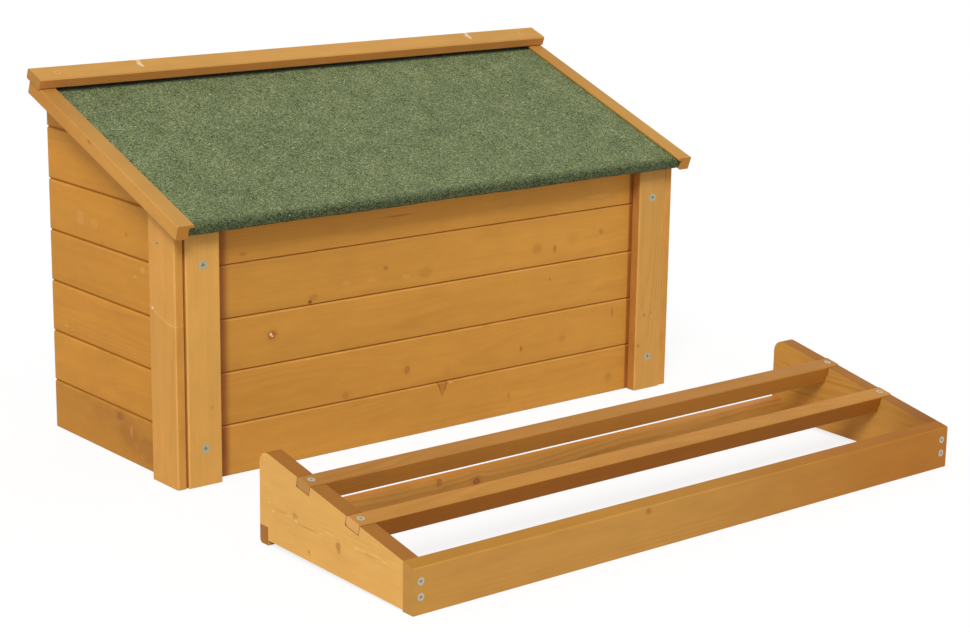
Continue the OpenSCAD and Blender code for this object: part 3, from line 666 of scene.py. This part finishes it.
for side, sign in SIDES:
    for index in range(1, SIDE_BOARDS + 1):
        seed = 30 + index + (20 if sign > 0 else 0)
        rng = random.Random(seed)
        size = rng.uniform(0.003, 0.006)
        if sign < 0:
            knots = LEFT_KNOTS.get(index, ())
            chips = LEFT_CHIPS.get(index, ())
        else:
            along = rng.uniform(0.16, 0.48)
            across = BOARD_COVER * index - rng.uniform(0.02, 0.06)
            knots = [(along, across, size * 1.3, size, 0.7)]
            chips = ()
        timber(f"{side}_side_board_{index}", Y, Z, X * sign, SIDE, seed, depth=0.06, aside=0.05,
               knots=knots, chips=chips,
               seams=wall_seams(side + "_side", index, SIDE_BOARDS, *SIDE_BANDS),
               tone=(LOW_SIDE_TONE if index == 1 else 1.0) + rng.uniform(-0.03, 0.03))
    timber(f"{side}_front_post", Z, X, -Y, LIGHT, 70 + sign, aside=0.04, rub=0.3,
           knots=POST_KNOTS[sign], tone=1.0 if sign < 0 else RIGHT_POST_TONE)
    timber(f"{side}_side_batten", Z, Y, X * sign, BATTEN, 74 + sign, aside=0.04, rub=0.3,
           overlap=OVERLAP, chips=BATTEN_CHIPS)
    timber(f"{side}_inner_front_post", Z, X, -Y, PLAIN, 78 + sign)
    timber(f"{side}_inner_back_post", Z, X, Y, PLAIN, 82 + sign)
    timber(f"{side}_barge_board", LID_ALONG, LID_OUT, X * sign, BARGE, 86 + sign,
           knots=[(LID_ALONG.dot(BARGE_KNOT), LID_OUT.dot(BARGE_KNOT), 0.004, 0.0022, 0.8)],
           fade=((0.33, NO_TINT), (0.66, tint(0.88, 0.8, 0.72))))
    timber(f"{side}_lid_batten", LID_ALONG, X, LID_OUT, PLAIN, 90 + sign)
    timber(f"{side}_rack_side", Y, Z, X * sign, dict(RACK, grain=RACK_GRAIN[sign]), 94 + sign,
           depth=0.05, knots=RACK_KNOTS[sign], chips=FIGURE if sign < 0 else (),
           notches=(seat("front_perch"), seat("back_perch")), fade=RACK_FADE[sign])

# Bare spots over the hinges, at the back of the top batten, which ends here on the lid's slope
BATTEN_END = 0.444
batten_back = LID_ORIGIN.dot(LID_ALONG) + BATTEN_END
bare_spots = []
for x in (-0.322, 0.355):
    bare_spots.append((x + 0.001, batten_back - 0.005, 0.0045, 0.01, 0.55))
    bare_spots.append((x - 0.001, batten_back - 0.016, 0.0045, 0.01, 0.7))
timber("lid_top_batten", X, LID_ALONG, LID_OUT, TOP, 101, depth=0.08, chips=bare_spots)
timber("top_back_rail", X, Z, Y, PLAIN, 102)
timber("bedding_board", X, Z, Y, PLAIN, 103,
       knots=[(-0.21, 0.07, 0.011, 0.009, 0.9), (0.27, 0.04, 0.008, 0.007, 0.9)])
timber("floor_bearers", X, Y, Z, PLAIN, 104)
timber("divider_cleats", Z, X, Y, PLAIN, 105)
timber("rack_front_rail", X, Z, -Y, RAIL, 106, depth=0.05,
       knots=[(-0.115, 0.0578, 0.004, 0.0035, 0.8)],
       fade=((-0.15, NO_TINT), (0.5, tint(0.76, 0.59, 0.32))))
timber("rack_back_rail", X, Z, -Y, BACK_RAIL, 107,
       knots=[(-0.153, 0.02, 0.006, 0.005, 1.0), (-0.224, 0.033, 0.004, 0.004, 0.8)])
timber("front_perch", X, RACK_ALONG, RACK_OUT, FRONT_BAR, 108)
timber("back_perch", X, RACK_ALONG, RACK_OUT, BACK_BAR, 109)

# The lid board's thickness
DECK_T = 0.012
low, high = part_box("nest_floor")
dress("nest_floor", plywood("ply_floor", X, Z, low.z, high.z - low.z, 1))
for side, sign in SIDES:
    low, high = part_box(f"{side}_nest_divider")
    sheet = plywood(f"ply_{side}_divider", Y, X, low.x, high.x - low.x, 2 + sign)
    dress(f"{side}_nest_divider", sheet)
dress("lid_deck", plywood("ply_lid", X, LID_OUT, LID_ORIGIN.dot(LID_OUT), DECK_T, 6))

# Steel

# How many blotches lie along a metre of steel
BLOTCHES = 900.0


def steel(name, colour, roughness, metallic):
    """Blotchy steel, shiny as zinc or dull under a coat of stain."""
    net = Net(name)
    blotch = net.noise(net.dot(net.place, X) * BLOTCHES, net.dot(net.place, Y) * BLOTCHES,
                       net.dot(net.place, Z) * BLOTCHES, 3.0)
    colour = net.shade(colour, 1.1 - blotch * 0.25)
    return net.finish(colour, blotch * 0.2 + roughness, blotch, 0.00005,
                      metallic=metallic, specular=0.4)


zinc = steel("zinc", linear(186, 180, 162), 0.4, 0.35)
dull_zinc = steel("dull_zinc", linear(176, 174, 148), 0.5, 0.2)
stained_steel = steel("stained_steel", linear(208, 154, 84), 0.5, 0.0)
dress("front_post_screws", dull_zinc)
for node in ("hinge_strap_screws", "hinge_leaf_screws", "rack_screws", "hinge_pins",
             "left_hinge_strap", "right_hinge_strap", "left_hinge_leaf", "right_hinge_leaf"):
    dress(node, zinc)
for node in ("side_batten_screws", "top_batten_screws"):
    dress(node, stained_steel)

# Felt

# The felt's half width, its front face from the foot of the lid board, its thickness, how far it
# turns under the board, the radius of its two folds, and its back end
FELT_IN_X = 0.492
FELT_FRONT = -0.021
FELT_T = 0.0025
FELT_TURN = 0.017
FELT_FOLD = 0.004
LID_END = 0.4363658

# How many large granules, small granules and spots for a pale fleck lie along a metre
GRANULES = 620.0
SMALL_GRANULES = 1150.0
FLECKS = 210.0

# The felt's ground, its granules from dark to light, the small dark granules and the flecks
FELT_GROUND = linear(46, 60, 40)
FELT_DARK = linear(104, 115, 72)
FELT_MIDDLE = linear(120, 131, 85)
FELT_LIGHT = linear(160, 166, 124)
FELT_SMALL = linear(60, 75, 46)
FELT_FLECK = linear(206, 212, 198)

# The painted shade on the fold ends between these two places, from the felt's front face, and the
# painted shade by the top batten begins between the other two, from the foot of the lid board
FOLD_SHADE = (0.001, 0.016)
BATTEN_SHADE = (0.3975, 0.4025)

# How far the folded edge wanders up and down, with its grit, and the same along the slope, where
# it lies a little farther back on the whole
EDGE_RISE = 0.0007
RISE_GRIT = 0.00025
EDGE_SHIFT = 0.0006
SHIFT_GRIT = 0.0002
EDGE_BACK = 0.3
# How far back that reaches, up to which height it is full, and its share above that
EDGE_REACH = 0.03
EDGE_LOW = 0.003
EDGE_SHARE = 0.35
# How far the top's waves go up and down, round a mean as far below its place in CAD, and the
# length at both ends over which all waves calm down
TOP_RISE = 0.00025
END_CALM = 0.02
# How many steps the sweep along the front has, and how many the outline's top
SWEEP_STEPS = 400
TOP_STEPS = 60


def mineral_felt():
    """Felt strewn with granules of two sizes, with a few pale flecks, and painted shade on its fold
    and in front of the top batten.

    The coordinates are x along the front, s up the lid's slope and n out of it."""
    net = Net("felt")
    x = net.dot(net.place, X)
    s = net.dot(net.place, LID_ALONG)
    n = net.dot(net.place, LID_OUT)
    far, pick = net.cells(GRANULES)
    far_small, pick_small = net.cells(SMALL_GRANULES, shift=3.0)
    sparse, chance = net.cells(FLECKS, shift=7.0)
    cloud = net.noise(x * 30.0, s * 30.0, n * 30.0, 3.0) - 0.5
    broad = net.noise(x * 7.0, s * 7.0, n * 7.0, 2.0) - 0.5
    lid_start = LID_ORIGIN.dot(LID_ALONG)
    front = lid_start + FELT_FRONT
    # Painted shade on the folded front edge: fewer pale granules and a darker colour
    painted_fold_shade = 1.0 - net.step(s, front + FOLD_SHADE[0], front + FOLD_SHADE[1])
    level = pick + cloud * 0.4 - painted_fold_shade * 0.24
    colour = net.mix(net.step(level, 0.1, 0.3), FELT_GROUND, FELT_DARK)
    colour = net.mix(net.step(level, 0.45, 0.6), colour, FELT_MIDDLE)
    colour = net.mix(net.step(level, 0.82, 0.92), colour, FELT_LIGHT)
    colour = net.mix(net.step(pick_small, 0.75, 0.85) * 0.4, colour, FELT_SMALL)
    fleck = net.step(chance, 0.985, 0.99) * (1.0 - net.step(sparse, 0.2, 0.3))
    colour = net.mix(fleck, colour, FELT_FLECK)
    # Painted shade on the felt in front of the top batten
    gap = net.step(s, lid_start + BATTEN_SHADE[0], lid_start + BATTEN_SHADE[1])
    colour = net.shade(colour, (broad * 0.16 + 1.0) * (1.0 - gap * 0.7) * (1.0 - painted_fold_shade * 0.15) * 0.97)
    height = (1.0 - far) + (1.0 - far_small) * 0.4 + pick * 0.5
    return net.finish(colour, pick * 0.2 + 0.72, height, 0.0007, specular=0.25)


def grid_mesh(name, rings):
    """A closed tube of quads from rings of points, with its two ends filled."""
    count = len(rings[0])
    points = [p for ring in rings for p in ring]
    faces = []
    for i in range(len(rings) - 1):
        for j in range(count):
            k = (j + 1) % count
            faces.append((i * count + j, i * count + k, (i + 1) * count + k, (i + 1) * count + j))
    faces.append(tuple(reversed(range(count))))
    faces.append(tuple(range((len(rings) - 1) * count, len(rings) * count)))
    mesh = bpy.data.meshes.new(name)
    mesh.from_pydata(points, [], faces)
    mesh.validate()
    mesh.update()
    thing = bpy.data.objects.new(name, mesh)
    bpy.context.scene.collection.objects.link(thing)
    return thing


def arc(s, n, radius, start, end, steps):
    """Points on a circle round (s, n), from one angle in degrees to the other."""
    return [(s + radius * math.cos(math.radians(start + (end - start) * i / steps)),
             n + radius * math.sin(math.radians(start + (end - start) * i / steps)))
            for i in range(steps + 1)]


def felt_outline():
    """The felt's section (s, n), with a flag for the points that may wander: its outer skin."""
    top = DECK_T + FELT_T
    drop = top + FELT_T - 2 * FELT_FOLD
    length = LID_END - FELT_FRONT - FELT_FOLD
    outer = [(LID_END - length * i / TOP_STEPS, top) for i in range(TOP_STEPS)]
    outer += arc(FELT_FRONT + FELT_FOLD, top - FELT_FOLD, FELT_FOLD, 90, 180, 6)
    outer += [(FELT_FRONT, top - FELT_FOLD - drop * i / 5) for i in range(1, 5)]
    outer += arc(FELT_FRONT + FELT_FOLD, -FELT_T + FELT_FOLD, FELT_FOLD, 180, 270, 6)
    outer += [(FELT_FRONT + FELT_FOLD + (FELT_TURN - FELT_FOLD) * i / 4, -FELT_T) for i in range(1, 5)]
    inner = [(FELT_FRONT + FELT_TURN, 0.0), (FELT_FRONT + FELT_T, 0.0), (FELT_FRONT + FELT_T, DECK_T),
             (LID_END, DECK_T)]
    return [(s, n, True) for s, n in outer] + [(s, n, False) for s, n in inner]


def wave(x, seed):
    """A calm wandering line, about -1 to 1, the same on every run."""
    rng = random.Random(seed)
    total = 0.0
    # Each wave's size and its length in metres
    for size, length in ((0.5, 0.31), (0.3, 0.12), (0.2, 0.047), (0.12, 0.019)):
        total += size * math.sin(2 * math.pi * (x / length + rng.random()))
    return total


outline = felt_outline()
rings = []
grit = random.Random(5)
for i in range(SWEEP_STEPS + 1):
    x = -FELT_IN_X + 2 * FELT_IN_X * i / SWEEP_STEPS
    ring = []
    calm = min(1.0, (FELT_IN_X - abs(x)) / END_CALM)
    for s, n, loose in outline:
        point_s, point_n = s, n
        if loose and s < FELT_FRONT + EDGE_REACH:
            near = 1.0 - max(0.0, (s - FELT_FRONT) / EDGE_REACH)
            low_edge = 1.0 if n < EDGE_LOW else EDGE_SHARE
            rough = grit.uniform(-RISE_GRIT, RISE_GRIT) * near
            point_n += EDGE_RISE * wave(x, 3) * near * low_edge * calm + rough
            rough = grit.uniform(-SHIFT_GRIT, SHIFT_GRIT) * near
            point_s += EDGE_SHIFT * (wave(x, 4) + EDGE_BACK) * near * calm + rough
        elif loose and n > DECK_T:
            point_n += TOP_RISE * wave(x + s * 0.7, 8) * calm - TOP_RISE
        ring.append(tuple(LID_ORIGIN + X * x + LID_ALONG * point_s + LID_OUT * point_n))
    rings.append(ring)
felt = grid_mesh("felt_cover", rings)
for polygon in felt.data.polygons:
    polygon.use_smooth = True
felt.data.materials.append(mineral_felt())
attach(felt, "lid")
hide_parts("lid_felt")

# Floor and light

# The paper as it lights the object, how much of its own white the camera sees, half the
# floor's side and its height
PAPER = (0.68, 0.68, 0.68, 1.0)
GLOW = 0.82
FLOOR_HALF = 60.0
FLOOR_Z = -0.0003
# The world's strength on the object and to the camera
SKY = 0.55
SKY_SEEN = 1.0


def stage_material(name):
    """Pale paper. The camera sees it white, with the object's shadow on it."""
    net = Net(name)
    paper = net.node("ShaderNodeBsdfDiffuse")
    paper.inputs["Color"].default_value = PAPER
    lit = net.node("ShaderNodeBsdfDiffuse")
    lit.inputs["Color"].default_value = NO_TINT
    white = net.node("ShaderNodeEmission")
    white.inputs["Strength"].default_value = 1.0
    shown = net.node("ShaderNodeMixShader")
    shown.inputs[0].default_value = GLOW
    net.feed(shown.inputs[1], lit.outputs[0])
    net.feed(shown.inputs[2], white.outputs[0])
    path = net.node("ShaderNodeLightPath")
    both = net.node("ShaderNodeMixShader")
    net.feed(both.inputs[0], net.math("MAXIMUM", path.outputs["Is Camera Ray"],
                                      path.outputs["Is Glossy Ray"]))
    net.feed(both.inputs[1], paper.outputs[0])
    net.feed(both.inputs[2], shown.outputs[0])
    output = net.node("ShaderNodeOutputMaterial")
    net.feed(output.inputs[0], both.outputs[0])
    return net.material


floor_mesh = bpy.data.meshes.new("floor")
corners = [(x * FLOOR_HALF, y * FLOOR_HALF, 0) for x, y in ((-1, -1), (1, -1), (1, 1), (-1, 1))]
floor_mesh.from_pydata(corners, [], [(0, 1, 2, 3)])
floor = bpy.data.objects.new("floor", floor_mesh)
bpy.context.scene.collection.objects.link(floor)
floor.location.z = FLOOR_Z
floor.data.materials.append(stage_material("floor_paper"))

world = bpy.data.worlds.new("studio")
bpy.context.scene.world = world
world.use_nodes = True
tree = world.node_tree
tree.nodes.clear()
path = tree.nodes.new("ShaderNodeLightPath")
seen = tree.nodes.new("ShaderNodeMath")
seen.operation = "MAXIMUM"
tree.links.new(path.outputs["Is Camera Ray"], seen.inputs[0])
tree.links.new(path.outputs["Is Glossy Ray"], seen.inputs[1])
either = tree.nodes.new("ShaderNodeMixShader")
tree.links.new(seen.outputs[0], either.inputs[0])
for socket, strength in ((1, SKY), (2, SKY_SEEN)):
    sky = tree.nodes.new("ShaderNodeBackground")
    sky.inputs["Color"].default_value = NO_TINT
    sky.inputs["Strength"].default_value = strength
    tree.links.new(sky.outputs[0], either.inputs[socket])
end = tree.nodes.new("ShaderNodeOutputWorld")
tree.links.new(either.outputs[0], end.inputs[0])


def sun(name, toward, strength, spread):
    """Sunlight from a direction, with its spread in degrees."""
    lamp = bpy.data.lights.new(name, "SUN")
    lamp.energy = strength
    lamp.angle = math.radians(spread)
    thing = bpy.data.objects.new(name, lamp)
    thing.rotation_euler = Vector(toward).to_track_quat("Z", "Y").to_euler()
    bpy.context.scene.collection.objects.link(thing)


sun("key", toward=(-0.55, -0.62, 0.85), strength=2.15, spread=22)

# Camera

# Its place, its turn to the right, its dip and its roll, as fitted to the photo
EYE = Vector((-2.1498, -2.6282374, 1.0661))
YAW = math.radians(39.338)
DIP = math.radians(14.049)
ROLL = math.radians(0.86)
# The focal length and the picture's width in pixels, and the sensor's width in mm
FOCAL = 2224.8
PICTURE = 970
SENSOR = 36
FARTHEST = 200

ahead = Vector((math.sin(YAW) * math.cos(DIP), math.cos(YAW) * math.cos(DIP), -math.sin(DIP)))
level = Vector((math.cos(YAW), -math.sin(YAW), 0))
upright = level.cross(ahead)
right = level * math.cos(ROLL) + upright * math.sin(ROLL)
above = upright * math.cos(ROLL) - level * math.sin(ROLL)
camera = bpy.data.objects.new("camera", bpy.data.cameras.new("camera"))
camera.data.sensor_width = SENSOR
camera.data.lens = SENSOR * FOCAL / PICTURE
camera.data.clip_end = FARTHEST
camera.matrix_world = Matrix((
    (right.x, above.x, -ahead.x, EYE.x),
    (right.y, above.y, -ahead.y, EYE.y),
    (right.z, above.z, -ahead.z, EYE.z),
    (0, 0, 0, 1),
))
bpy.context.scene.collection.objects.link(camera)
bpy.context.scene.camera = camera
bpy.context.scene.view_settings.view_transform = "Standard"
